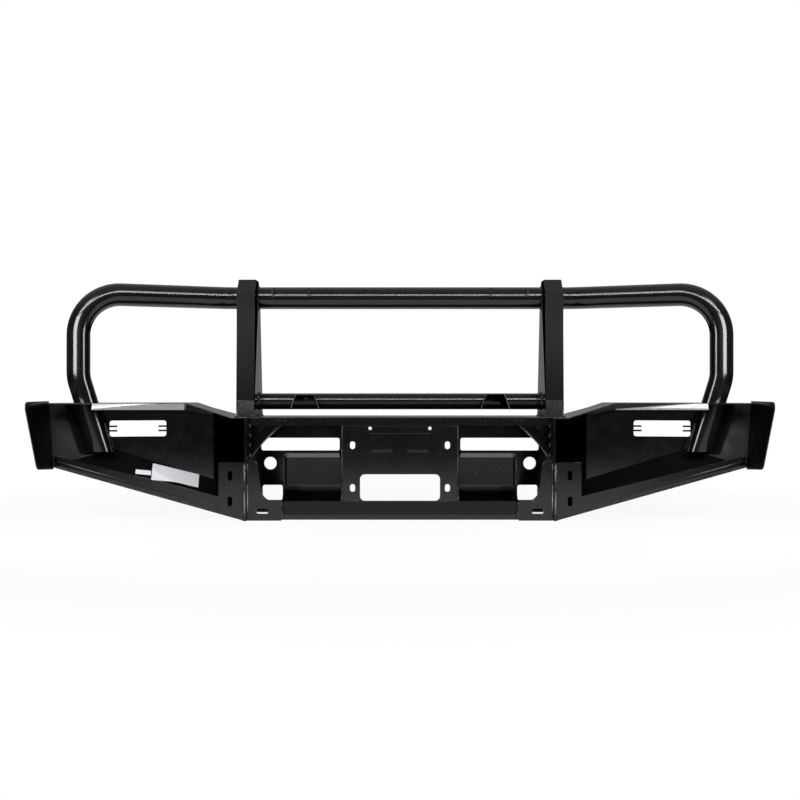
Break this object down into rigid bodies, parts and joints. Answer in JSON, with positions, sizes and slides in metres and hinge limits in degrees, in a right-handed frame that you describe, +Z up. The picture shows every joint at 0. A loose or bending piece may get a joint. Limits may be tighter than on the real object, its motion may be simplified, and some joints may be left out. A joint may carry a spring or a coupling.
{
  "type": "front grille guard",
  "caption": "Black steel winch bumper guard with a tubular hoop, two box uprights, a cross tube, folded sheet wings, a winch plate and chassis flanges.",
  "frame": {"origin": "on the ground plane, under the middle of the winch plate's rear face", "axes": "+X to the vehicle's left, +Y to the rear towards the vehicle, +Z up"},
  "size_m": [1.833, 0.4661, 0.644],
  "materials": {
    "black_coat": "satin textured powder coat",
    "label_plain": "plain paper-like film"
  },
  "bodies": {
    "root": {"hoop_middle": "black_coat", "hoop_end_left": "black_coat", "hoop_end_right": "black_coat", "cross_tube": "black_coat", "upright_strap_left": "black_coat", "upright_strap_right": "black_coat", "upright_front_left": "black_coat", "upright_front_right": "black_coat", "upright_inner_plate_left": "black_coat", "upright_inner_plate_right": "black_coat", "upright_outer_plate_left": "black_coat", "upright_outer_plate_right": "black_coat", "aerial_bracket_left": "black_coat", "aerial_bracket_right": "black_coat", "lamp_bracket_left": "black_coat", "lamp_bracket_right": "black_coat", "front_panel": "black_coat", "deck_rail": "black_coat", "bottom_sill": "black_coat", "winch_plate": "black_coat", "winch_side_plate_left": "black_coat", "winch_side_plate_right": "black_coat", "bay_channel_left": "black_coat", "bay_channel_right": "black_coat", "bay_partition_left": "black_coat", "bay_partition_right": "black_coat", "jack_plate_left": "black_coat", "jack_plate_right": "black_coat", "corner_brace_left": "black_coat", "corner_brace_right": "black_coat", "pan_side_plate_left": "black_coat", "pan_side_plate_right": "black_coat", "chassis_plate_left": "black_coat", "chassis_plate_right": "black_coat", "tow_plate_left": "black_coat", "tow_plate_right": "black_coat", "wing_top_left": "black_coat", "wing_top_right": "black_coat", "wing_return_left": "black_coat", "wing_return_right": "black_coat", "wing_front_left": "black_coat", "wing_front_right": "black_coat", "wing_corner_left": "black_coat", "wing_corner_right": "black_coat", "wing_end_left": "black_coat", "wing_end_right": "black_coat", "wing_tray_left": "black_coat", "wing_tray_right": "black_coat", "lamp_bezel_left": "black_coat", "lamp_bezel_right": "black_coat", "blank_labels": "label_plain"}
  },
  "joints": []
}
